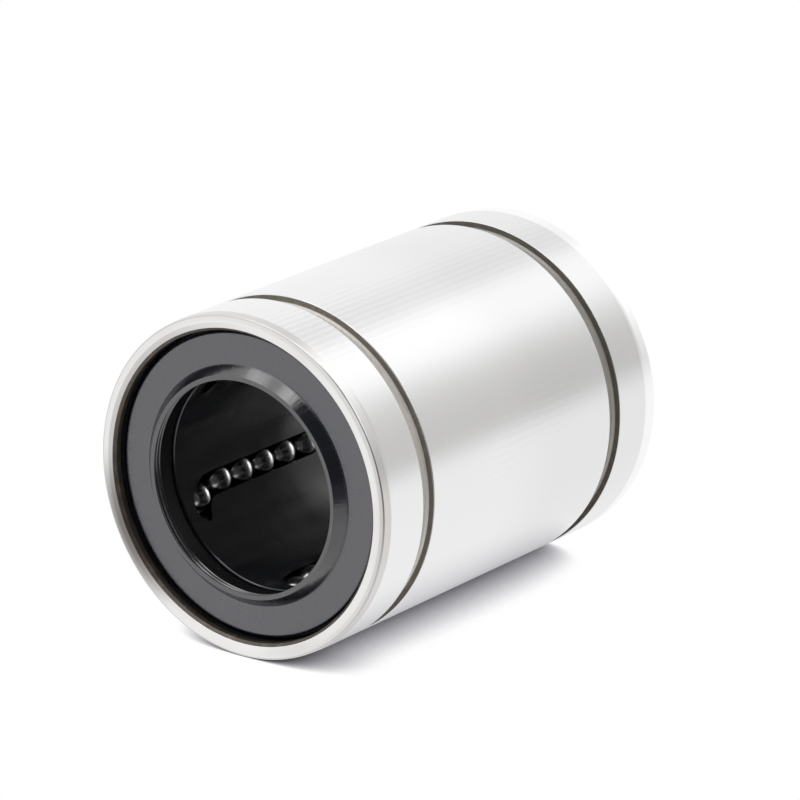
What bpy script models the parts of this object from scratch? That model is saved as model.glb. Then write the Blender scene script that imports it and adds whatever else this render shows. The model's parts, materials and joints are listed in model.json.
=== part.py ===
"""Linear ball bearing for a shaft of 20 mm, closed by a rubber seal at each end.

The bearing lies on its side along world Y, with its front face to -Y and its origin at its centre.
It is built upright: local +Z is the front, and circuit 1 has its loaded row at local +X.
Each circuit is a racetrack in the plane that touches the loaded row's pitch cylinder. Its loaded
straight carries the shaft, its return straight lies further out, and a half circle joins them at
each end. The balls lift off the shaft by themselves as they turn, because that plane is flat.
"""
import math

import bmesh
import bpy
from mathutils import Matrix

# Shaft and balls
SHAFT_RADIUS = 0.010
BALL_DIAMETER = 0.003175
BALL_GAP = 0.000025
BALLS_PER_ROW = 8
CIRCUITS = 5
FIRST_ROW_ANGLE = math.radians(-159)

# Retainer
SHAFT_CLEARANCE = 0.00035
CHANNEL_CLEARANCE = 0.00012
ISLAND_WIDTH = 0.0014
CHANNEL_END_WALL = 0.0006
RETAINER_CLEARANCE = 0.0002
RETAINER_CHAMFER = 0.0001

# Sleeve
RACE_CLEARANCE = 0.00005
RACE_WIDTH = 0.0021
RACE_RUN_IN = 0.001
FLUTE_CLEARANCE = 0.000064
SLEEVE_WALL = 0.0018
END_BORE_STEP = 0.00025
RIM_CHAMFER = 0.00029
LEAD_CHAMFER_DEPTH = 0.00025
LEAD_CHAMFER_LENGTH = 0.0013
RING_GROOVE_INSET = 0.00575
RING_GROOVE_WIDTH = 0.0016
RING_GROOVE_DEPTH = 0.00075

# End seals
SEAL_RECESS = 0.001035
SEAL_THICKNESS = 0.00215
SEAL_BACK_GAP = 0.0003
SEAL_SIDE_GAP = 0.00033
SEAL_EDGE_CHAMFER = 0.0002
LIP_INTERFERENCE = 0.00014
LIP_INSET = 0.00005
LIP_WIDTH = 0.0005
BOSS_FLANK = 0.00086
UNDERCUT_DEPTH = 0.0015
UNDERCUT_WIDTH = 0.00065
BEAD_HEIGHT = 0.00058
BEAD_WIDTH = 0.0005
BEAD_CLEARANCE = 0.00015

# Facets
SLEEVE_STEPS = 60
RETAINER_STEPS = 40
SEAL_STEPS = 36
TURN_STEPS = 10
CHANNEL_FLOOR_STEPS = 6
BEAD_STEPS = 8
BEAD_ARC_STEPS = 4
CUT_MARGIN = 0.001

# Circuit, worked out from the ball
BALL_RADIUS = BALL_DIAMETER / 2
BALL_PITCH = BALL_DIAMETER + BALL_GAP
STRAIGHT_LENGTH = BALLS_PER_ROW * BALL_PITCH
ROW_RADIUS = SHAFT_RADIUS + BALL_RADIUS
CHANNEL_RADIUS = BALL_RADIUS + CHANNEL_CLEARANCE
TURN_RADIUS = CHANNEL_RADIUS + ISLAND_WIDTH / 2
RETURN_RADIUS = math.hypot(ROW_RADIUS, 2 * TURN_RADIUS)
CIRCUIT_SPACING = math.tau / CIRCUITS

# Fused balls run into each other by a neck, so they stand a little closer than they roll
NECK_RADIUS = BALL_RADIUS / 5
FUSED_PITCH = 2 * math.sqrt(BALL_RADIUS ** 2 - NECK_RADIUS ** 2)
TURN_HALF_ANGLE = math.asin(FUSED_PITCH / 2 / TURN_RADIUS)

# Sleeve and retainer, worked out from the circuit
RACE_RADIUS = SHAFT_RADIUS + BALL_DIAMETER + RACE_CLEARANCE
FLUTE_RADIUS = RETURN_RADIUS + BALL_RADIUS + FLUTE_CLEARANCE
END_BORE_RADIUS = FLUTE_RADIUS + END_BORE_STEP
SLEEVE_RADIUS = FLUTE_RADIUS + SLEEVE_WALL
RETAINER_BORE = SHAFT_RADIUS + SHAFT_CLEARANCE
RETAINER_RADIUS = FLUTE_RADIUS - RETAINER_CLEARANCE
RETAINER_LENGTH = STRAIGHT_LENGTH + 2 * (TURN_RADIUS + CHANNEL_RADIUS + CHANNEL_END_WALL)
SLEEVE_LENGTH = RETAINER_LENGTH + 2 * (SEAL_BACK_GAP + SEAL_THICKNESS + SEAL_RECESS)

# Seals, worked out from the sleeve and the shaft
LIP_RADIUS = SHAFT_RADIUS - LIP_INTERFERENCE
UNDERCUT_RADIUS = LIP_RADIUS + UNDERCUT_WIDTH
SEAL_RADIUS = END_BORE_RADIUS - SEAL_SIDE_GAP
BEAD_RADIUS = SEAL_RADIUS + BEAD_HEIGHT
BEAD_INSET = SEAL_RECESS + SEAL_THICKNESS / 2


def material(name, colour, roughness, metallic):
    """A Principled material with one colour."""
    made = bpy.data.materials.new(name)
    made.use_nodes = True
    shader = made.node_tree.nodes["Principled BSDF"]
    shader.inputs["Base Color"].default_value = (*colour, 1)
    shader.inputs["Roughness"].default_value = roughness
    shader.inputs["Metallic"].default_value = metallic
    return made


def collection(name):
    """A new collection in the scene."""
    made = bpy.data.collections.new(name)
    bpy.context.scene.collection.children.link(made)
    return made


def empty(name, parent=None, location=(0, 0, 0), turn=0.0):
    """An empty at a place of its parent, turned about the parent's Z."""
    made = bpy.data.objects.new(name, None)
    made.empty_display_size = BALL_DIAMETER
    made.location = location
    made.rotation_euler.z = turn
    made.parent = parent
    PIECES.objects.link(made)
    return made


def piece(name, mesh, finish, parent, location=(0, 0, 0)):
    """A named piece of the bearing. A mesh that is shared already has its material."""
    if not mesh.materials:
        mesh.materials.append(finish)
    made = bpy.data.objects.new(name, mesh)
    made.location = location
    made.parent = parent
    PIECES.objects.link(made)
    return made


def cutter(name, mesh, parent, location=(0, 0, 0)):
    """A solid that only shapes other pieces."""
    made = bpy.data.objects.new(name, mesh)
    made.location = location
    made.parent = parent
    made.hide_render = True
    made.display_type = "WIRE"
    CUTTERS.objects.link(made)
    return made


def boolean(target, tool, operation):
    """Cut or trim a piece by a cutter."""
    made = target.modifiers.new(tool.name, "BOOLEAN")
    made.operation = operation
    made.object = tool
    made.solver = "EXACT"


def smooth(mesh):
    """Smooth shading, with an edge wherever two faces meet at more than 30 degrees."""
    mesh.shade_smooth()
    mesh.set_sharp_from_angle(angle=math.radians(30))
    return mesh


def evaluated(source, name):
    """The mesh that an object gives with its modifiers, in place of the object."""
    graph = bpy.context.evaluated_depsgraph_get()
    mesh = bpy.data.meshes.new_from_object(source.evaluated_get(graph))
    mesh.name = name
    bpy.data.objects.remove(source)
    return mesh


def turned(name, profile, steps, closed=True):
    """Turn a profile of (radius, height) points about Z. Its outer side runs from top to bottom."""
    shape = bmesh.new()
    points = [shape.verts.new((radius, 0, height)) for radius, height in profile]
    for start, end in zip(points, points[1:] + points[:1] if closed else points[1:]):
        shape.edges.new((start, end))
    mesh = bpy.data.meshes.new(name)
    shape.to_mesh(mesh)
    shape.free()
    source = cutter(name + "_profile", mesh, None)
    screw = source.modifiers.new("turn", "SCREW")
    screw.steps = screw.render_steps = steps
    screw.use_merge_vertices = True
    screw.merge_threshold = 1e-6
    return smooth(evaluated(source, name))


def poly_curve(name, points, dimensions):
    """A closed curve of straight runs through the points."""
    data = bpy.data.curves.new(name, "CURVE")
    data.dimensions = dimensions
    data.fill_mode = "NONE" if dimensions == "2D" else "FULL"
    spline = data.splines.new("POLY")
    spline.points.add(len(points) - 1)
    for place, (x, y) in zip(spline.points, points):
        place.co = (x, y, 0, 1)
    spline.use_cyclic_u = True
    made = bpy.data.objects.new(name, data)
    CUTTERS.objects.link(made)
    return made


def swept(name, path, profile):
    """Carry a closed profile round a closed flat path. The profile's Y stands up from the path's plane."""
    section = poly_curve(name + "_section", profile, "2D")
    rail = poly_curve(name + "_rail", path, "3D")
    rail.data.twist_mode = "Z_UP"
    rail.data.bevel_mode = "OBJECT"
    rail.data.bevel_object = section
    mesh = evaluated(rail, name)
    bpy.data.objects.remove(section)
    shape = bmesh.new()
    shape.from_mesh(mesh)
    bmesh.ops.remove_doubles(shape, verts=shape.verts, dist=1e-7)
    bmesh.ops.recalc_face_normals(shape, faces=shape.faces)
    shape.to_mesh(mesh)
    shape.free()
    return mesh


def extruded(name, outline, length):
    """A prism along Z, centred, from a flat outline."""
    shape = bmesh.new()
    base = shape.faces.new([shape.verts.new((x, y, -length / 2)) for x, y in outline])
    raised = bmesh.ops.extrude_face_region(shape, geom=[base])["geom"]
    corners = [item for item in raised if isinstance(item, bmesh.types.BMVert)]
    bmesh.ops.translate(shape, verts=corners, vec=(0, 0, length))
    bmesh.ops.recalc_face_normals(shape, faces=shape.faces)
    mesh = bpy.data.meshes.new(name)
    shape.to_mesh(mesh)
    shape.free()
    return mesh


def arc(radius, first, last, steps):
    """Points (x, y) along an arc about the origin, ends included."""
    angles = [first + (last - first) * step / steps for step in range(steps + 1)]
    return [(radius * math.cos(angle), radius * math.sin(angle)) for angle in angles]


def both_ends(front_half):
    """A front half of a profile, listed from the end face inwards, followed by its mirror image."""
    return front_half + [(radius, -height) for radius, height in reversed(front_half)]


def lobed_outline(rib_radius, rib_width, lobe_radius):
    """A round outline with one rib towards the axis at each loaded row, and a lobe between ribs."""
    rib_angle = math.asin(rib_width / 2 / rib_radius)
    lobe_angle = math.asin(rib_width / 2 / lobe_radius)
    outline = []
    for circuit in range(CIRCUITS):
        row = circuit * CIRCUIT_SPACING
        outline += arc(rib_radius, row - rib_angle, row + rib_angle, 2)
        outline += arc(lobe_radius, row + lobe_angle, row + CIRCUIT_SPACING - lobe_angle,
                       SLEEVE_STEPS // CIRCUITS - 2)
    return outline


def sleeve_profile():
    """Half section of the sleeve: chamfers and ring grooves outside, seal grooves and race inside."""
    end = SLEEVE_LENGTH / 2
    ring_front = end - RING_GROOVE_INSET
    ring_back = ring_front - RING_GROOVE_WIDTH
    ring_floor = SLEEVE_RADIUS - RING_GROOVE_DEPTH
    outside = both_ends([
        (SLEEVE_RADIUS - LEAD_CHAMFER_DEPTH, end),
        (SLEEVE_RADIUS, end - LEAD_CHAMFER_LENGTH),
        (SLEEVE_RADIUS, ring_front),
        (ring_floor, ring_front),
        (ring_floor, ring_back),
        (SLEEVE_RADIUS, ring_back),
    ])
    bead = end - BEAD_INSET
    groove_half = BEAD_WIDTH / 2 + 2 * BEAD_CLEARANCE
    groove_floor = BEAD_RADIUS + BEAD_CLEARANCE
    inside = both_ends([
        (END_BORE_RADIUS + RIM_CHAMFER, end),
        (END_BORE_RADIUS, end - RIM_CHAMFER),
        (END_BORE_RADIUS, bead + groove_half),
        (groove_floor, bead + groove_half),
        (groove_floor, bead - groove_half),
        (END_BORE_RADIUS, bead - groove_half),
        (END_BORE_RADIUS, STRAIGHT_LENGTH / 2 + RACE_RUN_IN),
        (RACE_RADIUS, STRAIGHT_LENGTH / 2),
    ])
    return outside + inside[::-1]


def outer_sleeve(assembly):
    """The hardened sleeve. Flutes for the return rows leave one raised race for each loaded row."""
    sleeve = piece("outer_sleeve", turned("outer_sleeve", sleeve_profile(), SLEEVE_STEPS),
                   GROUND_STEEL, assembly)
    outline = lobed_outline(RACE_RADIUS - CUT_MARGIN / 2, RACE_WIDTH, FLUTE_RADIUS)
    length = STRAIGHT_LENGTH + 2 * (RACE_RUN_IN + CUT_MARGIN)
    boolean(sleeve, cutter("sleeve_flutes", extruded("sleeve_flutes", outline, length), assembly),
            "DIFFERENCE")


def retainer_profile():
    """Half section of the retainer before it is cut."""
    end = RETAINER_LENGTH / 2
    outside = both_ends([
        (RETAINER_RADIUS - RETAINER_CHAMFER, end),
        (RETAINER_RADIUS, end - RETAINER_CHAMFER),
    ])
    inside = both_ends([
        (RETAINER_BORE + RETAINER_CHAMFER, end),
        (RETAINER_BORE, end - RETAINER_CHAMFER),
    ])
    return outside + inside[::-1]


def racetrack():
    """One circuit's path in its own plane: X from the loaded to the return straight, Y to the front."""
    half = STRAIGHT_LENGTH / 2
    front = [(TURN_RADIUS + x, half + y) for x, y in arc(TURN_RADIUS, 0, math.pi, TURN_STEPS)]
    back = [(TURN_RADIUS + x, y - half) for x, y in arc(TURN_RADIUS, math.pi, math.tau, TURN_STEPS)]
    return front + back


def channel_mesh():
    """The space that a circuit takes in the retainer: a round floor, and walls straight outwards."""
    floor = arc(CHANNEL_RADIUS, math.pi, math.tau, CHANNEL_FLOOR_STEPS)
    top = RETAINER_RADIUS - ROW_RADIUS + CUT_MARGIN
    section = floor + [(CHANNEL_RADIUS, top), (-CHANNEL_RADIUS, top)]
    mesh = swept("ball_channel", racetrack(), section)
    path_to_circuit = Matrix(((0, 0, 1, ROW_RADIUS), (1, 0, 0, 0), (0, 1, 0, 0), (0, 0, 0, 1)))
    mesh.transform(path_to_circuit)
    return mesh


def ball_retainer(assembly, circuits):
    """The moulded retainer: it fills the flutes, clears the races, and has a channel per circuit."""
    retainer = piece("ball_retainer", turned("ball_retainer", retainer_profile(), RETAINER_STEPS),
                     BLACK_RESIN, assembly)
    notch_floor = RACE_RADIUS - RETAINER_CLEARANCE - CHANNEL_CLEARANCE
    outline = lobed_outline(notch_floor, RACE_WIDTH + 4 * RETAINER_CLEARANCE, RETAINER_RADIUS + CUT_MARGIN)
    blank = extruded("retainer_outline", outline, RETAINER_LENGTH + 2 * CUT_MARGIN)
    boolean(retainer, cutter("retainer_outline", blank, assembly), "INTERSECT")
    channel = channel_mesh()
    for number, circuit in enumerate(circuits, 1):
        boolean(retainer, cutter(f"channel_{number}", channel, circuit), "DIFFERENCE")


def seal_mesh():
    """A rubber seal, front side up: raised lip, flat face, and a bead that snaps into the sleeve."""
    end = SLEEVE_LENGTH / 2
    face = end - SEAL_RECESS
    back = face - SEAL_THICKNESS
    bead = end - BEAD_INSET
    profile = [
        (LIP_RADIUS, end - LIP_INSET),
        (LIP_RADIUS + LIP_WIDTH, end - LIP_INSET),
        (LIP_RADIUS + LIP_WIDTH + BOSS_FLANK, face),
        (SEAL_RADIUS - SEAL_EDGE_CHAMFER, face),
        (SEAL_RADIUS, face - SEAL_EDGE_CHAMFER),
        (SEAL_RADIUS, bead + BEAD_WIDTH),
        (BEAD_RADIUS, bead + BEAD_WIDTH / 2),
        (BEAD_RADIUS, bead - BEAD_WIDTH / 2),
        (SEAL_RADIUS, bead - BEAD_WIDTH),
        (SEAL_RADIUS, back),
        (UNDERCUT_RADIUS, back),
        (UNDERCUT_RADIUS, end - UNDERCUT_DEPTH),
    ]
    return turned("end_seal", profile, SEAL_STEPS)


def end_seals(assembly):
    """The same seal at both ends, the back one turned round."""
    mesh = seal_mesh()
    piece("end_seal_front", mesh, RUBBER, assembly)
    back = piece("end_seal_back", mesh, RUBBER, assembly)
    back.rotation_euler.x = math.pi


def ball_mesh():
    """One ball."""
    shape = bmesh.new()
    bmesh.ops.create_icosphere(shape, subdivisions=2, radius=BALL_RADIUS)
    mesh = bpy.data.meshes.new("ball")
    shape.to_mesh(mesh)
    shape.free()
    mesh.shade_smooth()
    return mesh


def string_mesh():
    """A row of fused balls along Z: a turned line of arcs that meet at their necks."""
    neck = math.asin(NECK_RADIUS / BALL_RADIUS)
    profile = []
    for ball in range(BALLS_PER_ROW):
        centre = ((BALLS_PER_ROW - 1) / 2 - ball) * FUSED_PITCH
        first = 0 if ball == 0 else neck
        last = math.pi if ball == BALLS_PER_ROW - 1 else math.pi - neck
        points = arc(BALL_RADIUS, first, last, BEAD_ARC_STEPS)
        profile += [(radius, centre + height) for height, radius in points[ball > 0:]]
    profile[0] = (0, profile[0][1])
    profile[-1] = (0, profile[-1][1])
    return turned("ball_string", profile, BEAD_STEPS, closed=False)


def turn_pair_mesh(ball):
    """Two fused balls on the turning circle, either side of its farthest point. Y is the front."""
    sideways = TURN_RADIUS * math.sin(TURN_HALF_ANGLE)
    forward = TURN_RADIUS * math.cos(TURN_HALF_ANGLE)
    first = cutter("turn_pair", ball.copy(), None, (0, -sideways, forward))
    second = cutter("turn_pair_second", ball, None, (0, sideways, forward))
    boolean(first, second, "UNION")
    bpy.context.view_layer.update()
    mesh = evaluated(first, "turn_pair")
    mesh.transform(Matrix.Translation((0, -sideways, forward)))
    bpy.data.objects.remove(second)
    mesh.shade_smooth()
    return mesh


def circuit_balls(number, circuit, ball, string, pair):
    """The balls of one circuit, each group under an empty on its joint's axis."""
    name = f"circuit_{number}"
    loaded = empty(name + "_loaded_row", circuit, (ROW_RADIUS, 0, 0))
    for place in range(BALLS_PER_ROW):
        height = ((BALLS_PER_ROW - 1) / 2 - place) * BALL_PITCH
        piece(f"{name}_ball_{place + 1}", ball, BALL_STEEL, loaded, (0, 0, height))
    returning = empty(name + "_return_row", circuit, (ROW_RADIUS, 2 * TURN_RADIUS, 0))
    piece(name + "_return_balls", string, BALL_STEEL, returning)
    front = empty(name + "_front_turn", circuit, (ROW_RADIUS, TURN_RADIUS, STRAIGHT_LENGTH / 2))
    piece(name + "_front_turn_balls", pair, BALL_STEEL, front)
    back = empty(name + "_back_turn", circuit, (ROW_RADIUS, TURN_RADIUS, -STRAIGHT_LENGTH / 2))
    back.rotation_euler.x = math.pi
    piece(name + "_back_turn_balls", pair, BALL_STEEL, back)


def build():
    """Build the bearing upright and lay it on its side."""
    assembly = empty("linear_ball_bearing")
    assembly.rotation_mode = "ZYX"
    assembly.rotation_euler = (math.pi / 2, 0, FIRST_ROW_ANGLE)
    circuits = [empty(f"circuit_{number + 1}", assembly, turn=number * CIRCUIT_SPACING)
                for number in range(CIRCUITS)]
    outer_sleeve(assembly)
    ball_retainer(assembly, circuits)
    end_seals(assembly)
    ball = ball_mesh()
    string = string_mesh()
    pair = turn_pair_mesh(ball)
    for number, circuit in enumerate(circuits, 1):
        circuit_balls(number, circuit, ball, string, pair)


for old in list(bpy.data.objects):
    bpy.data.objects.remove(old)
PIECES = collection("linear_ball_bearing")
CUTTERS = collection("cutters")
GROUND_STEEL = material("ground_steel", (0.74, 0.74, 0.75), 0.28, 1.0)
BALL_STEEL = material("ball_steel", (0.62, 0.62, 0.63), 0.08, 1.0)
BLACK_RESIN = material("black_resin", (0.012, 0.012, 0.013), 0.25, 0.0)
RUBBER = material("rubber", (0.085, 0.087, 0.095), 0.5, 0.0)
build()
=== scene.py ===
"""The looks of a sealed linear ball bearing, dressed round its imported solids.

Lengths are in metres. The shaft's axis is world Y, the front face looks to -Y and +Z is up. Every turned
piece is a profile of (radius, place along the axis) carried round the axis, and an angle is measured from
+X towards +Z. Each ball circuit lies in a flat plane that touches the pitch cylinder of its loaded row.
"""
from __future__ import annotations

import json
import logging
import math
from collections.abc import Sequence
from dataclasses import dataclass, replace
from enum import Enum, IntEnum

import bpy
import numpy as np
from mathutils import Matrix, Vector

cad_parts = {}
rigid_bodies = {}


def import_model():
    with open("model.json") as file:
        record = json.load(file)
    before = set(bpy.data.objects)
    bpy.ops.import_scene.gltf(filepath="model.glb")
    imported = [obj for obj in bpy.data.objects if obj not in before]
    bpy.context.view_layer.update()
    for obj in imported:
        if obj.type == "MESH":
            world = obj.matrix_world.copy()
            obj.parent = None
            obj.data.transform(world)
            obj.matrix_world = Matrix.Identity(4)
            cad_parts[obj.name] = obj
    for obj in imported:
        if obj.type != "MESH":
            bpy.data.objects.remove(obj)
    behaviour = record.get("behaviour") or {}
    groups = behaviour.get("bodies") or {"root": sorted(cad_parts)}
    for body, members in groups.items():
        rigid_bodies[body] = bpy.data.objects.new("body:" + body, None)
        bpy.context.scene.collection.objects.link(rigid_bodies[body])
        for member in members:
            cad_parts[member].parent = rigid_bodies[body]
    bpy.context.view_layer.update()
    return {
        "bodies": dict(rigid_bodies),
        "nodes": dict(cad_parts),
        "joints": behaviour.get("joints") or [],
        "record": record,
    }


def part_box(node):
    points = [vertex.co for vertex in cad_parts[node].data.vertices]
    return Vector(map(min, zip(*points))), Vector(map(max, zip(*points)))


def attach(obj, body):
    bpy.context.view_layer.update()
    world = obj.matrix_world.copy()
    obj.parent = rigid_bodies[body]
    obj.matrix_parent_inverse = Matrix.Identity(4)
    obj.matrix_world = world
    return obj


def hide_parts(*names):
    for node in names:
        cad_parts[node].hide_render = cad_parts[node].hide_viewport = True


LOG = logging.getLogger("linear_bearing")

MM = 0.001
Colour = tuple[float, float, float]
BLACK: Colour = (0.0, 0.0, 0.0)
WHITE: Colour = (1.0, 1.0, 1.0)
BROWN: Colour = (0.10, 0.085, 0.07)
CIRCUITS = 5

# Where the painted shade that darkens the bearing's rear half begins, along the axis.
PAINTED_REAR_SHADE_EDGE = (-4.0 * MM, 6.0 * MM)

# Fillets that several corners share, from a cut edge to a moulded one.
CRISP = 0.03 * MM
EASED = 0.05 * MM
SOFT = 0.08 * MM
ROUND = 0.10 * MM


class End(Enum):
    """The two ends of the bearing, and the way along the axis that each one looks."""

    FRONT = -1
    BACK = 1

    @property
    def word(self) -> str:
        """The end's name as pieces and joints spell it."""
        return self.name.lower()


class Term:
    """One output of a shader tree. Arithmetic on it adds Math nodes."""

    def __init__(self, recipe: Recipe, socket: bpy.types.NodeSocket | None) -> None:
        """Wrap a socket of a recipe's tree."""
        self.recipe = recipe
        self.socket = socket

    def __add__(self, other: Term | float) -> Term:
        """Sum."""
        return self.recipe.math("ADD", self, other)

    __radd__ = __add__

    def __sub__(self, other: Term | float) -> Term:
        """Difference."""
        return self.recipe.math("SUBTRACT", self, other)

    def __rsub__(self, other: float) -> Term:
        """Difference from a number."""
        return self.recipe.math("SUBTRACT", other, self)

    def __mul__(self, other: Term | float) -> Term:
        """Product."""
        return self.recipe.math("MULTIPLY", self, other)

    __rmul__ = __mul__

    def __truediv__(self, other: Term | float) -> Term:
        """Quotient."""
        return self.recipe.math("DIVIDE", self, other)

    def sine(self) -> Term:
        """Sine of an angle in radians."""
        return self.recipe.math("SINE", self)

    def power(self, exponent: float) -> Term:
        """This value raised to a power."""
        return self.recipe.math("POWER", self, exponent)

    def rise(self, low: float, high: float) -> Term:
        """A smooth step from 0 at low to 1 at high.

        Args:
            low: Where the step is 0. It may be the larger of the two.
            high: Where the step is 1.

        Returns:
            The step.
        """
        if low > high:
            return 1.0 - self.rise(high, low)
        return self.recipe.node("ShaderNodeMapRange", {"interpolation_type": "SMOOTHSTEP"},
                                {"Value": self, "From Min": low, "From Max": high})

    def between(self, low: float, high: float, blur: float) -> Term:
        """1 between two values and 0 outside them, with edges as soft as the blur."""
        return self.rise(low - blur, low + blur) * self.rise(high + blur, high - blur)


class Recipe:
    """A shader tree, filled through one method that adds any node."""

    def __init__(self, tree: bpy.types.ShaderNodeTree) -> None:
        """Start from an empty tree."""
        self.tree = tree
        tree.nodes.clear()

    def node(self, kind: str, settings: dict[str, object] | None = None,
             inputs: dict[str | int, object] | None = None, output: str | int = 0) -> Term:
        """Add one node.

        Args:
            kind: The node's type.
            settings: Values of its own properties, set first.
            inputs: Numbers, colours or terms for its sockets.
            output: The output that the term stands for.

        Returns:
            The output as a term.
        """
        made = self.tree.nodes.new(kind)
        for name, value in (settings or {}).items():
            setattr(made, name, value)
        for name, value in (inputs or {}).items():
            if isinstance(value, Term):
                self.tree.links.new(value.socket, made.inputs[name])
            else:
                made.inputs[name].default_value = value
        return Term(self, made.outputs[output] if made.outputs else None)

    def math(self, operation: str, *values: Term | float) -> Term:
        """One Math node on terms or numbers."""
        return self.node("ShaderNodeMath", {"operation": operation}, dict(enumerate(values)))

    def place(self, coordinates: str = "Object") -> tuple[Term, Term, Term]:
        """X, Y and Z: a place on the piece in metres, or with Generated a direction in the world."""
        point = self.node("ShaderNodeTexCoord", output=coordinates)
        return tuple(self.node("ShaderNodeSeparateXYZ", inputs={0: point}, output=axis) for axis in range(3))

    def radius(self, x: Term, z: Term) -> Term:
        """The distance from the bearing's axis."""
        return (x * x + z * z).power(0.5)

    def join(self, x: Term | float, y: Term | float, z: Term | float) -> Term:
        """A vector from three values."""
        return self.node("ShaderNodeCombineXYZ", inputs={0: x, 1: y, 2: z})

    def noise(self, vector: Term, scale: float, detail: float = 2.0, roughness: float = 0.5) -> Term:
        """Noise from 0 to 1 over a vector."""
        return self.node("ShaderNodeTexNoise", inputs={"Vector": vector, "Scale": scale, "Detail": detail,
                                                       "Roughness": roughness})

    def streaks(self, place: Sequence[Term], across: float, along: float, detail: float = 2.0,
                roughness: float = 0.5) -> Term:
        """Noise with one scale for the first and last coordinate and another for the middle one."""
        first, middle, last = place
        return self.noise(self.join(first * across, middle * along, last * across), 1.0, detail, roughness)

    def blend(self, factor: Term | float, first: Term | Colour, second: Term | Colour) -> Term:
        """A colour between two colours."""
        colours = [c if isinstance(c, Term) else (*c, 1.0) for c in (first, second)]
        return self.node("ShaderNodeMix", {"data_type": "RGBA"},
                         {0: factor, 6: colours[0], 7: colours[1]}, output=2)

    def bump(self, height: Term, depth: float) -> Term:
        """A normal tilted by a height from 0 to 1, where 1 stands as high as the depth in metres."""
        return self.node("ShaderNodeBump", inputs={"Height": height, "Distance": depth})


@dataclass(frozen=True)
class Finish:
    """A surface finish, made as one Principled material."""

    name: str
    colour: Colour
    roughness: float
    metallic: float = 0.0
    specular: float = 0.5
    ior: float = 1.5
    # Painted shade: how much darker the rear half is painted.
    rear_loss: float = 0.0

    def material(self) -> bpy.types.Material:
        """Make the finish's material.

        Returns:
            The material, with the pattern of this kind of finish.
        """
        made = bpy.data.materials.new(self.name)
        made.use_nodes = True
        recipe = Recipe(made.node_tree)
        sockets = {"Base Color": (*self.colour, 1.0), "Roughness": self.roughness, "Metallic": self.metallic,
                   "Specular IOR Level": self.specular, "IOR": self.ior, **self.pattern(recipe)}
        shader = recipe.node("ShaderNodeBsdfPrincipled", inputs=sockets)
        recipe.node("ShaderNodeOutputMaterial", inputs={"Surface": shader})
        return made

    def pattern(self, recipe: Recipe) -> dict[str, Term]:
        """What varies over the surface, by socket name. A plain finish varies nothing."""
        return {}

    def tint(self, strength: float) -> Colour:
        """The finish's colour times a strength."""
        return tuple(channel * strength for channel in self.colour)

    def darker_rear(self, recipe: Recipe, y: Term, colour: Term) -> Term:
        """A colour with painted shade: darker in the rear half by the finish's painted rear shade."""
        return recipe.blend(y.rise(*PAINTED_REAR_SHADE_EDGE) * self.rear_loss, colour, BLACK)


@dataclass(frozen=True)
class GroundSteel(Finish):
    """Cylindrical grinding: fine lines round the axis, and faint chatter stripes along it."""

    line_scales: tuple[float, float] = (90.0, 5200.0)
    wander_scales: tuple[float, float] = (110.0, 45.0)
    broad_scales: tuple[float, float] = (60.0, 30.0)
    chatter_count: float = 144.0
    chatter_wander: float = 5.0
    chatter_centre: float = math.radians(71)
    chatter_spread: float = math.radians(22)
    chatter_front: tuple[float, float] = (-3.0 * MM, -16.0 * MM)
    chatter_behind: float = 0.45
    chatter_elsewhere: float = 0.3
    chatter_strength: float = 0.035
    line_haze: float = 0.10
    broad_haze: float = 0.08
    depth: float = 0.6e-6

    def pattern(self, recipe: Recipe) -> dict[str, Term]:
        """Grinding lines are noise stretched round the axis, and chatter is a sine of the angle.

        Chatter lies in a patch that is stronger towards the front, and faintly elsewhere.

        Args:
            recipe: The finish's shader tree.

        Returns:
            What varies over the surface, by socket name.
        """
        place = recipe.place()
        x, y, z = place
        fine = recipe.streaks(place, *self.line_scales, 3.0, 0.6)
        wander = recipe.streaks(place, *self.wander_scales)
        broad = recipe.streaks(place, *self.broad_scales)
        angle = recipe.math("ARCTAN2", z, x)
        stripe = (angle * self.chatter_count + wander * self.chatter_wander).sine()
        off_centre = recipe.math("ABSOLUTE", angle - self.chatter_centre)
        forward = self.chatter_behind + (1.0 - self.chatter_behind) * y.rise(*self.chatter_front)
        patch = off_centre.rise(self.chatter_spread, 0.0) * forward
        chatter = stripe * (patch + wander.rise(0.5, 0.75) * self.chatter_elsewhere)
        shade = 0.5 + 0.5 * chatter * (0.5 + fine)
        darker, lighter = self.tint(1.0 - self.chatter_strength), self.tint(1.0 + self.chatter_strength)
        ground = recipe.blend(shade, darker, lighter)
        haze = (fine - 0.5) * self.line_haze + (broad - 0.5) * self.broad_haze
        # The rear half is painted darker as painted shade.
        return {"Base Color": self.darker_rear(recipe, y, ground),
                "Roughness": self.roughness + haze,
                "Normal": recipe.bump(fine * 0.6 + chatter * 0.2, self.depth)}


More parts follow.
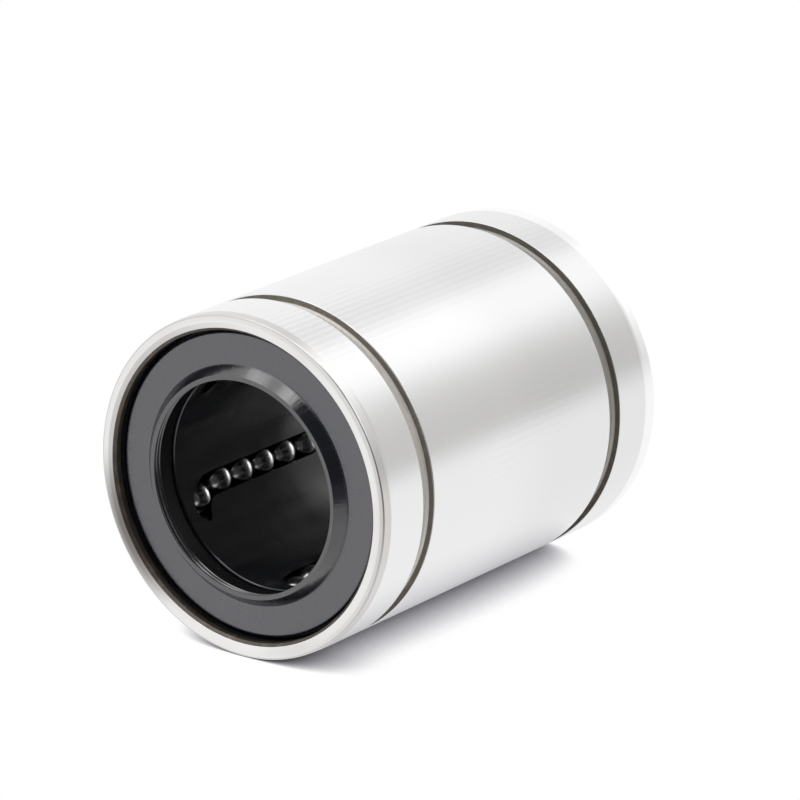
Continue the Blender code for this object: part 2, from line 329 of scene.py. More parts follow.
@dataclass(frozen=True)
class TurnedSteel(Finish):
    """Turned edges: rings about the axis, a faint warm heat tint in patches, painted shade on one side and
    one painted patch, which is painted shade where its colour is brown and a painted highlight where it is
    bright."""

    warm: Colour = (0.82, 0.80, 0.77)
    tint_scale: float = 130.0
    rings_per_metre: float = 9000.0
    ring_haze: float = 0.15
    ring_depth: float = 1.2e-6
    # Painted shade that darkens one side towards brown, only on the outer part of the ring.
    film: float = 0.0
    film_centre: float = math.radians(165)
    film_edge: tuple[float, float] = (15.3 * MM, 15.1 * MM)
    film_colour: Colour = BROWN
    # A painted patch: painted shade with a brown colour, a painted highlight with a bright one.
    mark: float = 0.0
    mark_centre: float = math.radians(208)
    mark_edge: float = math.cos(math.radians(32))
    mark_full: float = 1.03
    mark_colour: Colour = BROWN

    def pattern(self, recipe: Recipe) -> dict[str, Term]:
        """Rings follow radius plus place along the axis, and the tint is broad noise.

        The painted shade and the painted patch follow the cosine of the angle from their centres.

        Args:
            recipe: The finish's shader tree.

        Returns:
            What varies over the surface, by socket name.
        """
        x, y, z = recipe.place()
        radius = recipe.radius(x, z)
        rings = recipe.noise(recipe.join(radius + y, 0.0, 0.0), self.rings_per_metre, 2.0)
        patch = recipe.noise(recipe.join(x, y, z), self.tint_scale, 3.0).rise(0.42, 0.72)
        # Painted shade on one side, then the painted patch, each by the angle from its centre.
        near_painted_shade, near_painted_patch = ((x * math.cos(centre) + z * math.sin(centre)) / radius
                                for centre in (self.film_centre, self.mark_centre))
        film = near_painted_shade.rise(0.0, 1.0) * self.film * radius.rise(*self.film_edge)
        mark = near_painted_patch.rise(self.mark_edge, self.mark_full) * self.mark * (0.85 + 0.3 * rings)
        steel = recipe.blend(patch * 0.7 + (rings - 0.5) * 0.2, self.colour, self.warm)
        dimmed_colour = recipe.blend(film, steel, self.film_colour)
        return {"Base Color": recipe.blend(mark, dimmed_colour, self.mark_colour),
                "Roughness": self.roughness + (rings - 0.5) * self.ring_haze,
                "Normal": recipe.bump(rings, self.ring_depth)}


@dataclass(frozen=True)
class ScaledSteel(Finish):
    """Steel left with its brown scale from hardening, mottled, with turning marks beneath."""

    bare: Colour = (0.30, 0.25, 0.21)
    worn: tuple[float, float] = (0.45, 0.8)
    mottle_scale: float = 900.0
    mottle_haze: float = 0.3
    rings_per_metre: float = 7000.0
    depth: float = 2.0e-6

    def pattern(self, recipe: Recipe) -> dict[str, Term]:
        """Scale wears to bare metal where fine noise is high, and rings follow the radius and the axis.

        Args:
            recipe: The finish's shader tree.

        Returns:
            What varies over the surface, by socket name.
        """
        x, y, z = recipe.place()
        rings = recipe.noise(recipe.join(recipe.radius(x, z), y, 0.0), self.rings_per_metre, 2.0)
        mottle = recipe.noise(recipe.join(x, y, z), self.mottle_scale, 4.0, 0.65)
        scaled = recipe.blend(mottle.rise(*self.worn) * 0.6 + rings * 0.1, self.colour, self.bare)
        # The rear half is painted darker as painted shade.
        return {"Base Color": self.darker_rear(recipe, y, scaled),
                "Roughness": self.roughness + (mottle - 0.5) * self.mottle_haze,
                "Normal": recipe.bump(rings + mottle, self.depth)}


@dataclass(frozen=True)
class PolishedSteel(Finish):
    """Mirror polish with a thin, uneven film of oil."""

    haze: float = 0.07
    film_scale: float = 700.0
    film_tint: float = 0.82

    def pattern(self, recipe: Recipe) -> dict[str, Term]:
        """The film is broad noise that dulls the mirror here and there.

        Args:
            recipe: The finish's shader tree.

        Returns:
            What varies over the surface, by socket name.
        """
        film = recipe.noise(recipe.join(*recipe.place()), self.film_scale, 2.0)
        dimmed_colour = recipe.blend(film.rise(0.3, 0.8) * 0.5, self.colour, self.tint(self.film_tint))
        return {"Base Color": dimmed_colour, "Roughness": self.roughness + film.rise(0.45, 0.8) * self.haze}


@dataclass(frozen=True)
class MouldedResin(Finish):
    """Glossy moulded resin: slow waves from shrinkage, a little haze, and a painted reflection along each
    land, a lighter, rougher band.
    """

    wave_scale: float = 160.0
    wave_depth: float = 6.0e-6
    haze_scale: float = 420.0
    lands: int = CIRCUITS
    land_angle: float = math.radians(168)
    band_ends: tuple[float, float] = (12.5 * MM, 3.0 * MM)
    band_wall: tuple[float, float] = (10.6 * MM, 10.4 * MM)
    band_fade: tuple[float, float] = (-2.0 * MM, 8.0 * MM)
    band_front: float = 0.35
    # The colour of the painted reflection in each band.
    dull: Colour = (0.34, 0.34, 0.36)

    def pattern(self, recipe: Recipe) -> dict[str, Term]:
        """Waves are broad noise in the normal, and haze is noise in the roughness.

        The bands of painted reflection follow cos(lands (angle - land angle)) on the bore's wall. They end
        before the tube's ends and are weaker in its front half.

        Args:
            recipe: The finish's shader tree.

        Returns:
            What varies over the surface, by socket name.
        """
        x, y, z = recipe.place()
        point = recipe.join(x, y, z)
        waves = recipe.noise(point, self.wave_scale, 1.5)
        haze = recipe.noise(point, self.haze_scale, 3.0, 0.6)
        start = math.pi / 2 - self.lands * self.land_angle
        turn = recipe.math("ARCTAN2", z, x) * float(self.lands) + start
        inside = recipe.math("ABSOLUTE", y).rise(*self.band_ends) * recipe.radius(x, z).rise(*self.band_wall)
        painted_reflection_band = turn.sine().rise(0.0, 0.8) * inside
        painted_reflection_band = painted_reflection_band * (self.band_front + (1.0 - self.band_front) * y.rise(*self.band_fade))
        moulded = recipe.blend(haze, self.tint(0.8), self.tint(1.3))
        return {"Roughness": self.roughness + (haze - 0.4) * 0.16 + painted_reflection_band * 0.1,
                "Base Color": recipe.blend(painted_reflection_band * (0.5 + 0.5 * haze), moulded, self.dull),
                "Normal": recipe.bump(waves, self.wave_depth)}


@dataclass(frozen=True)
class SealRubber(Finish):
    """Moulded rubber: fine grain, specks of dust, a soft bloom and faint flow lines along the radius."""

    grain_scale: float = 9000.0
    grain_depth: float = 1.6e-6
    bloom_scale: float = 180.0
    dust_scale: float = 2600.0
    dust_peaks: tuple[float, float] = (0.76, 0.80)
    dust_colour: Colour = (0.4, 0.4, 0.4)
    flow_scales: tuple[float, float] = (26.0, 500.0)
    flow_share: float = 8.0

    def pattern(self, recipe: Recipe) -> dict[str, Term]:
        """Grain is fine noise, bloom is broad noise, and dust is the peaks of a fine noise.

        Flow lines are noise over the direction from the axis, (x / r, z / r), stretched along the radius.

        Args:
            recipe: The finish's shader tree.

        Returns:
            What varies over the surface, by socket name.
        """
        x, y, z = recipe.place()
        radius = recipe.radius(x, z)
        flow = recipe.streaks((x / radius, radius, z / radius), *self.flow_scales, 3.0, 0.6)
        point = recipe.join(x, y, z)
        grain = recipe.noise(point, self.grain_scale, 2.0)
        bloom = recipe.noise(point, self.bloom_scale, 3.0, 0.55)
        dust = recipe.noise(point, self.dust_scale, 1.0).rise(*self.dust_peaks)
        grey = recipe.blend(bloom, self.tint(0.82), self.tint(1.18))
        return {"Base Color": recipe.blend(dust * 0.35, grey, self.dust_colour),
                "Roughness": self.roughness + (bloom - 0.5) * 0.08 + (flow - 0.5) * 0.22,
                "Normal": recipe.bump(grain + flow * self.flow_share, self.grain_depth)}


class Skin(IntEnum):
    """The finishes of the bearing, in the order of a piece's material slots."""

    GROUND = 0
    RING = 1
    TURNED = 2
    LEAD = 3
    BRIGHT = 4
    GROOVE = 5
    SHOULDER = 6
    BORE = 7
    OILED = 8
    RACE = 9
    BALL = 10
    RESIN = 11
    FACE = 12
    LIP = 13
    INNER = 14


# The rear values below are painted shade that darkens the bearing's rear half.
FINISHES: dict[Skin, Finish] = {
    Skin.GROUND: GroundSteel("ground_steel", (0.86, 0.86, 0.865), 0.24, 1.0, rear_loss=0.06),
    # The ring is painted darker on its left as painted shade, and darker and browner low on the left as more
    # painted shade. The turned edge has the same brown painted shade low on the left.
    Skin.RING: TurnedSteel("face_ground_steel", (0.89, 0.885, 0.88), 0.32, 1.0, film=0.33, mark=0.86),
    Skin.TURNED: TurnedSteel("turned_steel", (0.92, 0.91, 0.895), 0.48, 1.0, warm=(0.88, 0.85, 0.82),
                             mark=0.70),
    # The front lead has a painted highlight: a bright patch at the upper right.
    Skin.LEAD: TurnedSteel("lead_steel", (0.70, 0.685, 0.675), 0.30, 1.0, warm=(0.66, 0.63, 0.60), mark=0.95,
                           mark_centre=math.radians(44), mark_edge=math.cos(math.radians(28)),
                           mark_colour=(0.95, 0.95, 0.94)),
    Skin.BRIGHT: TurnedSteel("bright_lead_steel", (0.96, 0.96, 0.965), 0.25, 1.0, warm=(0.94, 0.94, 0.94)),
    Skin.GROOVE: ScaledSteel("groove_floor_scale", (0.76, 0.73, 0.68), 0.48, 0.4, rear_loss=0.36,
                             bare=(0.84, 0.81, 0.76)),
    Skin.SHOULDER: ScaledSteel("groove_wall_scale", (0.235, 0.215, 0.195), 0.45, 0.8, rear_loss=0.10,
                               bare=(0.38, 0.35, 0.315)),
    Skin.BORE: ScaledSteel("bore_scale", (0.12, 0.10, 0.085), 0.42, 0.7),
    # Painted shade: the pocket wall deep in the recess before the seal is painted near black.
    Skin.OILED: ScaledSteel("oiled_bore", (0.018, 0.018, 0.020), 0.30, 0.5, bare=(0.05, 0.05, 0.05)),
    Skin.RACE: PolishedSteel("race_steel", (0.74, 0.74, 0.75), 0.16, 1.0),
    Skin.BALL: PolishedSteel("ball_steel", (0.66, 0.66, 0.67), 0.22, 1.0, haze=0.03),
    Skin.RESIN: MouldedResin("black_resin", (0.012, 0.013, 0.016), 0.16, ior=1.65),
    Skin.FACE: SealRubber("seal_face_rubber", (0.011, 0.012, 0.030), 0.26, specular=0.6, ior=2.0),
    Skin.LIP: SealRubber("seal_lip_rubber", (0.006, 0.007, 0.013), 0.16, specular=0.6, ior=2.0),
    Skin.INNER: SealRubber("seal_bore_rubber", (0.008, 0.008, 0.010), 0.42, specular=0.3),
}


class Wardrobe:
    """Makes each finish's material once and hands it out."""

    def __init__(self) -> None:
        """Make every material."""
        self.materials = {skin: finish.material() for skin, finish in FINISHES.items()}

    def dress(self, mesh: bpy.types.Mesh, skins: np.ndarray) -> None:
        """Give a mesh the materials that its faces name.

        Args:
            mesh: The mesh.
            skins: One Skin number for each face.
        """
        used = sorted(set(skins.tolist()))
        for skin in used:
            mesh.materials.append(self.materials[Skin(skin)])
        mesh.polygons.foreach_set("material_index", np.searchsorted(used, skins).astype(np.int32))


@dataclass(frozen=True)
class Corner:
    """A corner of a turned profile, and the skin of the side that leaves it."""

    radius: float
    along: float
    fillet: float
    skin: Skin


def rounded_loop(corners: Sequence[Corner], steps: int = 4) -> tuple[np.ndarray, np.ndarray]:
    """Round every corner of a closed profile by its own small arc.

    An arc of radius f in a corner whose half angle is h starts f / tan(h) before the corner, and its centre
    lies f / sin(h) from the corner on the bisector. One more point on either side keeps the flats flat.

    Args:
        corners: The corners, along the outside from front to back and then along the inside.
        steps: Chords in each arc.

    Returns:
        The points (radius, along), and the skin of the side that leaves each point.
    """
    places = np.array([(corner.radius, corner.along) for corner in corners])
    fillets = np.array([corner.fillet for corner in corners])[:, None]
    behind = np.roll(places, 1, axis=0) - places
    ahead = np.roll(places, -1, axis=0) - places
    behind /= np.linalg.norm(behind, axis=1, keepdims=True)
    ahead /= np.linalg.norm(ahead, axis=1, keepdims=True)
    half = np.arccos(np.clip((behind * ahead).sum(1, keepdims=True), -1, 1)) / 2
    cut = fillets / np.tan(half)
    bisector = (behind + ahead) / np.linalg.norm(behind + ahead, axis=1, keepdims=True)
    centre = places + bisector * fillets / np.sin(half)
    spoke = places + behind * cut - centre
    side = np.sign(ahead[:, 0] * behind[:, 1] - ahead[:, 1] * behind[:, 0])[:, None]
    turn = side * (math.pi - 2 * half) * np.linspace(0, 1, steps + 1)
    arc_r = centre[:, :1] + spoke[:, :1] * np.cos(turn) - spoke[:, 1:] * np.sin(turn)
    arc_y = centre[:, 1:] + spoke[:, :1] * np.sin(turn) + spoke[:, 1:] * np.cos(turn)
    arcs = np.stack([arc_r, arc_y], axis=-1)
    guard = 0.5 * fillets
    first = (places + behind * (cut + guard))[:, None]
    last = (places + ahead * (cut + guard))[:, None]
    points = np.concatenate([first, arcs, last], axis=1).reshape(-1, 2)
    skins = np.repeat([int(corner.skin) for corner in corners], steps + 3)
    return points, skins


def mirrored(front: Sequence[Corner]) -> list[Corner]:
    """Add its mirror image to a front half of corners.

    A side keeps its skin when it is mirrored, so the mirrored corners take the skin of the side before them.

    Args:
        front: The corners from the front face inwards.

    Returns:
        The corners from the front face to the back face.
    """
    back = [Corner(corner.radius, -corner.along, corner.fillet, before.skin)
            for corner, before in zip(front[::-1], [*front[:-1][::-1], front[0]])]
    return [*front, *back]


def grid_faces(rows: int, columns: int, closed_rows: bool = True) -> np.ndarray:
    """Join the points of a grid by quads. Its columns close round.

    Args:
        rows: How many rows of points there are.
        columns: How many points a row has.
        closed_rows: Whether the last row joins the first.

    Returns:
        The faces, four corners in each row.
    """
    row = np.arange(rows if closed_rows else rows - 1)[:, None]
    column = np.arange(columns)[None, :]
    beside = (column + 1) % columns
    here, below = row * columns, (row + 1) % rows * columns
    corners = [here + column, below + column, below + beside, here + beside]
    return np.stack(np.broadcast_arrays(*corners), axis=-1).reshape(-1, 4)


def add_mesh(name: str, vertices: np.ndarray, faces: np.ndarray | list) -> bpy.types.Object:
    """Put arrays into a new smooth-shaded mesh object at the origin.

    Args:
        name: The object's name.
        vertices: One row for each point.
        faces: Point numbers, as an array of quads or a list of mixed faces.

    Returns:
        The object.
    """
    mesh = bpy.data.meshes.new(name)
    mesh.from_pydata(vertices.tolist(), [], faces if isinstance(faces, list) else faces.tolist())
    mesh.shade_smooth()
    mesh.update()
    made = bpy.data.objects.new(name, mesh)
    bpy.context.scene.collection.objects.link(made)
    return made


def round_the_axis(radii: np.ndarray, along: np.ndarray, angles: np.ndarray) -> np.ndarray:
    """Points on a surface about the axis: (r cos a, y, r sin a), for r on a grid of profile by angle."""
    x, z = radii * np.cos(angles), radii * np.sin(angles)
    return np.stack([x, np.broadcast_to(along, x.shape), z], axis=-1).reshape(-1, 3)


def turned(name: str, radii: np.ndarray, along: np.ndarray, angles: np.ndarray) -> bpy.types.Object:
    """A closed profile carried round the axis. The radii may differ from angle to angle."""
    return add_mesh(name, round_the_axis(radii, along, angles), grid_faces(len(along), len(angles)))


def outward_faces(vertices: np.ndarray, faces: np.ndarray) -> np.ndarray:
    """Turn all faces round if the closed surface holds a negative volume.

    The volume is the sum of (a x b) . c over the triangles of each quad's fan.

    Args:
        vertices: One row for each point.
        faces: Quads.

    Returns:
        The quads, facing outwards.
    """
    a, b, c, d = (vertices[faces[:, corner]] for corner in range(4))
    volume = (np.cross(a, b) * c).sum() + (np.cross(a, c) * d).sum()
    return faces[:, ::-1] if volume < 0 else faces


def settle(piece: bpy.types.Object, helpers: Sequence[bpy.types.Object]) -> None:
    """Apply a piece's modifiers, then remove the objects that only served them.

    Args:
        piece: The piece.
        helpers: The objects that its modifiers name.
    """
    graph = bpy.context.evaluated_depsgraph_get()
    mesh = bpy.data.meshes.new_from_object(piece.evaluated_get(graph))
    piece.modifiers.clear()
    piece.data = mesh
    for helper in helpers:
        bpy.data.objects.remove(helper)


@dataclass(frozen=True)
class Circuit:
    """Where one ball circuit lies: the directions and sizes of its plane."""

    number: int
    outward: np.ndarray
    sideways: np.ndarray
    row_radius: float
    turn_radius: float
    half_straight: float

    @classmethod
    def of_frame(cls, frame: dict, number: int) -> Circuit:
        """Read a circuit from its front turning joint.

        The joint's axis is the plane's normal. Its place along the normal, sideways and along Y gives the
        row's radius, the turn's radius and half the straight.

        Args:
            number: The circuit's number, from 1.

        Returns:
            The circuit.
        """
        joint = next(j for j in frame["joints"] if j["name"] == f"circuit_{number}_front_turn")
        outward, centre = np.array(joint["axis"], float), np.array(joint["pos_m"], float)
        sideways = np.array([-outward[2], 0.0, outward[0]])
        return cls(number, outward, sideways, float(centre @ outward), float(centre @ sideways), -centre[1])

    @property
    def angle(self) -> float:
        """Angle of the loaded row."""
        return math.atan2(self.outward[2], self.outward[0])

    def point(self, sideways: np.ndarray, along: np.ndarray, lift: np.ndarray | float = 0.0) -> np.ndarray:
        """Points of the circuit's plane, lifted from it along its normal."""
        level = np.multiply.outer(self.row_radius + lift + 0 * sideways, self.outward)
        return level + np.multiply.outer(sideways, self.sideways) + np.multiply.outer(along, [0.0, 1.0, 0.0])


@dataclass(frozen=True)
class Lobes:
    """The ribs and lobes of a cross-section: a rib towards the axis at each loaded row."""

    row_angles: tuple[float, ...]
    rib_width: float
    rib_radius: float
    lobe_radius: float
    edge: float = 0.0006

    @property
    def rib_angle(self) -> float:
        """Half of the angle that a rib takes."""
        return self.rib_width / 2 / self.rib_radius

    def angles(self, steps: int) -> np.ndarray:
        """Even angles round the axis, with a close pair at each side of every rib.

        Args:
            steps: How many even angles there are.

        Returns:
            The angles, in rising order.
        """
        even = np.linspace(-math.pi, math.pi, steps, endpoint=False)
        rows = np.array(self.row_angles)[:, None]
        sides = rows + np.array([-1, -1, 1, 1]) * self.rib_angle + np.array([-1, 1, -1, 1]) * self.edge
        sides = (sides.ravel() + math.pi) % math.tau - math.pi
        near = np.abs(even[:, None] - sides[None]).min(axis=1) < 2 * self.edge
        return np.sort(np.concatenate([even[~near], sides]))

    def limit(self, angles: np.ndarray) -> np.ndarray:
        """Choose the rib's radius or the lobe's.

        Args:
            angles: Angles round the axis.

        Returns:
            The radius at each angle.
        """
        apart = (angles[:, None] - np.array(self.row_angles)[None] + math.pi) % math.tau - math.pi
        inside = np.abs(apart).min(axis=1) < self.rib_angle
        return np.where(inside, self.rib_radius, self.lobe_radius)


@dataclass(frozen=True)
class Sleeve:
    """The hardened outer sleeve."""

    half_length: float
    row_angles: tuple[float, ...]
    half_straight: float
    radius: float = 16.0 * MM
    end_bore: float = 14.45 * MM
    flute_radius: float = 14.2 * MM
    race_radius: float = 13.225 * MM
    race_width: float = 2.1 * MM
    run_in: float = 1.0 * MM
    rim_chamfer: float = 0.29 * MM
    step_inset: float = 0.84 * MM
    step_depth: float = 0.06 * MM
    ring_radius: float = 15.47 * MM
    ring_fillet: float = 0.12 * MM
    edge_radius: float = 15.93 * MM
    edge_drop: float = 0.07 * MM
    edge_fillet: float = 0.14 * MM
    lead_length: float = 1.3 * MM
    lead_fillet: float = 0.6 * MM
    groove_inset: float = 5.75 * MM
    groove_width: float = 1.6 * MM
    groove_depth: float = 0.75 * MM
    groove_root: float = 0.22 * MM
    groove_edge_fillet: float = 0.07 * MM
    race_fillet: float = 0.2 * MM
    seal_groove_inset: float = 2.11 * MM
    seal_groove_width: float = 1.1 * MM
    seal_groove_radius: float = 14.85 * MM
    steps: int = 300

    def corners(self) -> list[Corner]:
        """The closed profile of the sleeve.

        Returns:
            The corners along the outside from front to back, then along the inside from back to front.
        """
        front = -self.half_length
        groove, floor = front + self.groove_inset, self.radius - self.groove_depth
        groove_back = groove + self.groove_width
        outside = mirrored([
            Corner(self.ring_radius, front, self.ring_fillet, Skin.TURNED),
            Corner(self.edge_radius, front + self.edge_drop, self.edge_fillet, Skin.LEAD),
            Corner(self.radius, front + self.lead_length, self.lead_fillet, Skin.GROUND),
            Corner(self.radius, groove, EASED, Skin.SHOULDER),
            Corner(floor + self.groove_root, groove, SOFT, Skin.GROOVE),
            Corner(floor, groove + self.groove_root, SOFT, Skin.GROOVE),
            Corner(floor, groove_back - self.groove_root, SOFT, Skin.GROOVE),
            Corner(floor + self.groove_root, groove_back, SOFT, Skin.SHOULDER),
            Corner(self.radius, groove_back, self.groove_edge_fillet, Skin.GROUND),
        ])
        # The back lead and edge are bright, and the side after them is the back ring.
        outside[-3:] = [replace(corner, skin=skin)
                        for corner, skin in zip(outside[-3:], (Skin.BRIGHT, Skin.BRIGHT, Skin.RING))]
        step, stepped = front + self.step_inset, self.end_bore + self.step_depth
        seal_front = front + self.seal_groove_inset - self.seal_groove_width / 2
        seal_back = seal_front + self.seal_groove_width
        inside = mirrored([
            Corner(self.end_bore + self.rim_chamfer, front, EASED, Skin.BORE),
            Corner(self.end_bore, front + self.rim_chamfer, EASED, Skin.BORE),
            Corner(self.end_bore, step, CRISP, Skin.SHOULDER),
            # Past the step the pocket wall is painted near black as painted shade.
            Corner(stepped, step + self.step_depth, CRISP, Skin.OILED),
            Corner(stepped, seal_front, CRISP, Skin.OILED),
            Corner(self.seal_groove_radius, seal_front, EASED, Skin.BORE),
            Corner(self.seal_groove_radius, seal_back, EASED, Skin.BORE),
            Corner(self.end_bore, seal_back, CRISP, Skin.BORE),
            Corner(self.end_bore, -self.half_straight - self.run_in, ROUND, Skin.RACE),
            Corner(self.race_radius, -self.half_straight, self.race_fillet, Skin.RACE),
        ])
        # Walked backwards, a corner takes the skin of the side after it. The last side is the front ring.
        returning = [replace(corner, skin=following.skin)
                     for corner, following in zip(inside[::-1], [*inside[::-1][1:], inside[0]])]
        returning[-1] = replace(returning[-1], skin=Skin.RING)
        return [*outside, *returning]

    def build(self, wardrobe: Wardrobe) -> bpy.types.Object:
        """Turn the profile about the axis, with flutes between the races.

        Args:
            wardrobe: The materials.

        Returns:
            The sleeve.
        """
        points, skins = rounded_loop(self.corners())
        lobes = Lobes(self.row_angles, self.race_width, self.race_radius, self.flute_radius)
        angles = lobes.angles(self.steps)
        floor = np.where(lobes.limit(angles) == self.flute_radius, self.flute_radius, 0.0)
        radii = np.maximum(points[:, :1], floor[None])
        sleeve = turned("outer_sleeve_ground", radii, points[:, 1:], angles)
        wardrobe.dress(sleeve.data, np.repeat(skins, len(angles)))
        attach(sleeve, "root")
        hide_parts("outer_sleeve")
        return sleeve


@dataclass(frozen=True)
class Retainer:
    """The moulded retainer, with one racetrack channel for each circuit."""

    half_length: float
    circuits: tuple[Circuit, ...]
    radius: float = 14.0 * MM
    bore: float = 10.35 * MM
    chamfer: float = 0.1 * MM
    notch_radius: float = 12.9 * MM
    notch_width: float = 2.9 * MM
    channel_radius: float = 1.7075 * MM
    cut_margin: float = 1.0 * MM
    steps: int = 240
    turn_steps: int = 28
    floor_steps: int = 22
    sharp_angle: float = math.radians(28)

    def body(self) -> bpy.types.Object:
        """The tube before it is cut, notched where the races stand.

        Returns:
            The tube.
        """
        front, chamfer = -self.half_length, self.chamfer
        outside = mirrored([Corner(self.radius - chamfer, front, CRISP, Skin.RESIN),
                            Corner(self.radius, front + chamfer, CRISP, Skin.RESIN)])
        inside = mirrored([Corner(self.bore + chamfer, front, CRISP, Skin.RESIN),
                           Corner(self.bore, front + chamfer, CRISP, Skin.RESIN)])
        points, _ = rounded_loop([*outside, *inside[::-1]])
        rows = tuple(circuit.angle for circuit in self.circuits)
        lobes = Lobes(rows, self.notch_width, self.notch_radius, 2 * self.radius)
        angles = lobes.angles(self.steps)
        radii = np.minimum(points[:, :1], lobes.limit(angles)[None])
        return turned("ball_retainer_moulded", radii, points[:, 1:], angles)

    def channel(self, circuit: Circuit) -> bpy.types.Object:
        """The space of one channel: a half-round floor with straight walls, carried round a racetrack.

        With p the point on the racetrack and m its outward normal in the plane, a point of the section with
        coordinates (u, w) lies at p + u m, lifted w along the plane's normal.

        Args:
            circuit: The circuit that runs in the channel.

        Returns:
            The space as a closed solid.
        """
        turn = np.linspace(0, math.pi, self.turn_steps + 1)
        angle = np.concatenate([turn + math.pi, turn])
        half = np.where(np.arange(len(angle)) <= self.turn_steps, -1, 1) * circuit.half_straight
        floor = np.linspace(math.pi, math.tau, self.floor_steps + 1)
        top = self.radius - circuit.row_radius + self.cut_margin
        across = self.channel_radius * np.concatenate([np.cos(floor), [1.0, -1.0]])
        lift = np.concatenate([self.channel_radius * np.sin(floor), [top, top]])
        reach = circuit.turn_radius + across[None]
        sideways = circuit.turn_radius + reach * np.cos(angle)[:, None]
        along = half[:, None] + reach * np.sin(angle)[:, None]
        lifts = np.broadcast_to(lift[None], sideways.shape)
        vertices = circuit.point(sideways, along, lifts).reshape(-1, 3)
        faces = outward_faces(vertices, grid_faces(len(angle), len(lift)))
        return add_mesh(f"channel_{circuit.number}", vertices, faces)

    def build(self, wardrobe: Wardrobe) -> bpy.types.Object:
        """Cut the channels out of the tube.

        Args:
            wardrobe: The materials.

        Returns:
            The retainer.
        """
        retainer = self.body()
        cutters = [self.channel(circuit) for circuit in self.circuits]
        for cutter in cutters:
            cut = retainer.modifiers.new(cutter.name, "BOOLEAN")
            cut.object = cutter
            cut.operation = "DIFFERENCE"
        settle(retainer, cutters)
        retainer.data.shade_smooth()
        retainer.data.set_sharp_from_angle(angle=self.sharp_angle)
        wardrobe.dress(retainer.data, np.full(len(retainer.data.polygons), int(Skin.RESIN)))
        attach(retainer, "root")
        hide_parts("ball_retainer")
        return retainer


@dataclass(frozen=True)
class Seal:
    """A rubber end seal: a flat face, a raised lip and a bead that sits in the sleeve's groove."""

    half_length: float
    recess: float = 1.035 * MM
    thickness: float = 2.15 * MM
    radius: float = 14.12 * MM
    lip_radius: float = 9.86 * MM
    lip_inset: float = 0.05 * MM
    lip_width: float = 0.5 * MM
    flank: float = 0.86 * MM
    undercut_radius: float = 10.51 * MM
    undercut_inset: float = 1.5 * MM
    bead_radius: float = 14.7 * MM
    bead_width: float = 0.5 * MM
    flank_fillet: float = 0.22 * MM
    rim_fillet: float = 0.26 * MM
    ridge_tips: tuple[tuple[float, float], ...] = ((10.14 * MM, 1.20 * MM), (9.95 * MM, 0.52 * MM))
    ridge_rise: float = 0.11 * MM
    ridge_run: float = 0.11 * MM
    ridge_fillet: float = 0.02 * MM
    steps: int = 240
    fillet_steps: int = 6

    def corners(self) -> list[Corner]:
        """The closed profile of the front seal.

        Returns:
            The corners over the face to the rim, down the outside and up the bore.
        """
        front = -self.half_length
        face, back = front + self.recess, front + self.recess + self.thickness
        bead = (face + back) / 2
        top, lip_edge = front + self.lip_inset, self.lip_radius + self.lip_width
        return [
            Corner(self.lip_radius, top, SOFT, Skin.LIP),
            Corner(lip_edge, top, ROUND, Skin.LIP),
            Corner(lip_edge + self.flank, face, self.flank_fillet, Skin.FACE),
            Corner(self.radius, face, self.rim_fillet, Skin.FACE),
            Corner(self.radius, bead - self.bead_width, EASED, Skin.FACE),
            Corner(self.bead_radius, bead - self.bead_width / 2, ROUND, Skin.FACE),
            Corner(self.bead_radius, bead + self.bead_width / 2, ROUND, Skin.FACE),
            Corner(self.radius, bead + self.bead_width, EASED, Skin.FACE),
            Corner(self.radius, back, ROUND, Skin.FACE),
            Corner(self.undercut_radius, back, SOFT, Skin.INNER),
            Corner(self.undercut_radius, front + self.undercut_inset, ROUND, Skin.INNER),
            *self.ridges(front),
        ]

    def ridges(self, front: float) -> list[Corner]:
        """Fine moulded ridges inside the lip, each a tip and then a side that opens forwards.

        Args:
            front: Where the front face lies.

        Returns:
            The corners from back to front.
        """
        corners = []
        for tip, inset in self.ridge_tips:
            corners.append(Corner(tip, front + inset, self.ridge_fillet, Skin.LIP))
            corners.append(Corner(tip + self.ridge_rise, front + inset - self.ridge_run, self.ridge_fillet,
                                  Skin.INNER))
        return corners

    def build(self, wardrobe: Wardrobe, end: End) -> bpy.types.Object:
        """Turn the profile about the axis. The back seal's profile is the mirror image, walked backwards.

        Args:
            wardrobe: The materials.
            end: The end that the seal closes.

        Returns:
            The seal.
        """
        points, skins = rounded_loop(self.corners(), self.fillet_steps)
        if end is End.BACK:
            points, skins = (points * [1.0, -1.0])[::-1], np.roll(skins[::-1], -1)
        angles = np.linspace(-math.pi, math.pi, self.steps, endpoint=False)
        seal = turned(f"end_seal_{end.word}_rubber", points[:, :1], points[:, 1:], angles)
        wardrobe.dress(seal.data, np.repeat(skins, len(angles)))
        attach(seal, "root")
        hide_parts(f"end_seal_{end.word}")
        return seal


